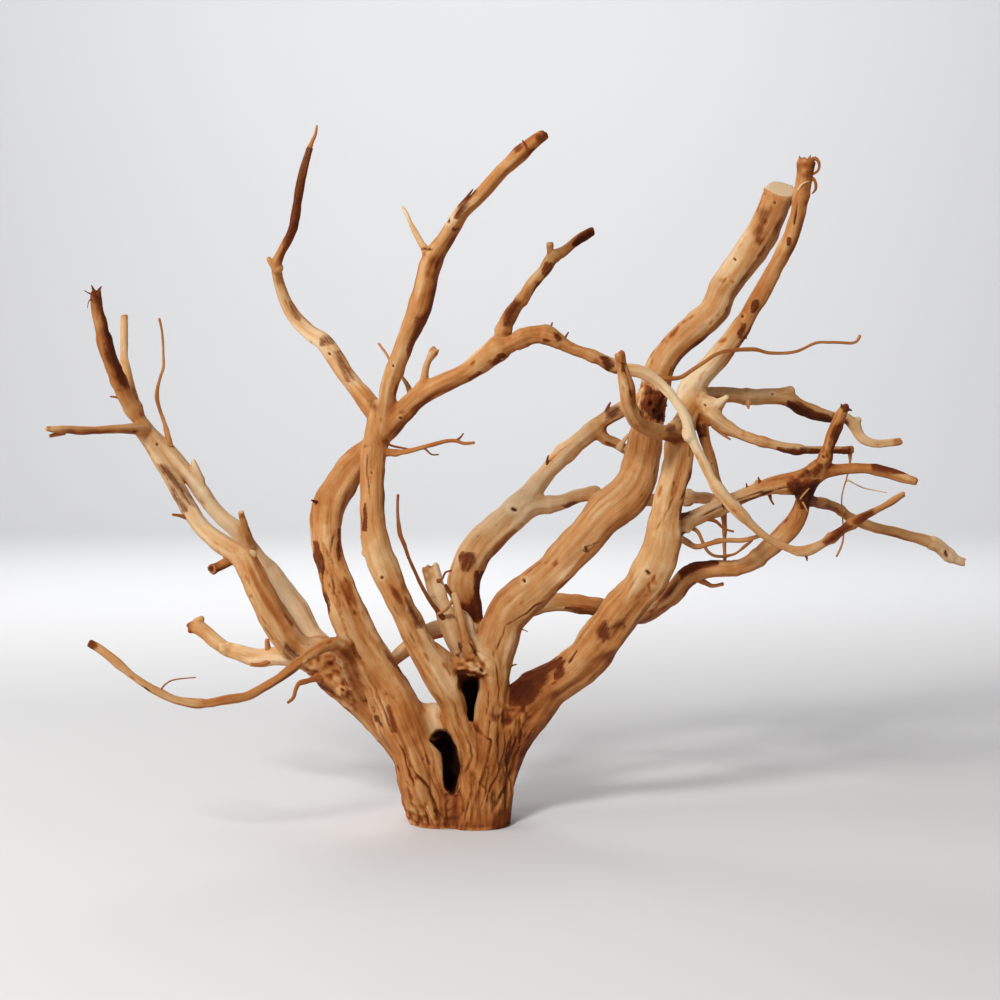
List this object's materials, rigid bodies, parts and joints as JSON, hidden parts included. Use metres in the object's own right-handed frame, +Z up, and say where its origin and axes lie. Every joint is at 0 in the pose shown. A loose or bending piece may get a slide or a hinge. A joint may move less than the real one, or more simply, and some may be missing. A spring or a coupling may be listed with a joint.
{
  "type": "aquarium driftwood",
  "caption": "Branching driftwood root that stands on a sawn flat foot, with ribbed stump, curving stems and fine forked twigs.",
  "frame": {"origin": "centre of the stump's sawn foot, on the surface that it stands on", "axes": "+X along the widest spread of the branches, to the right as seen from the front; +Y to the back; +Z up"},
  "size_m": [0.5668, 0.1766, 0.4234],
  "materials": {
    "bare_wood": "bare, sanded, semi-matte"
  },
  "bodies": {
    "root": {"driftwood": "bare_wood"}
  },
  "joints": []
}
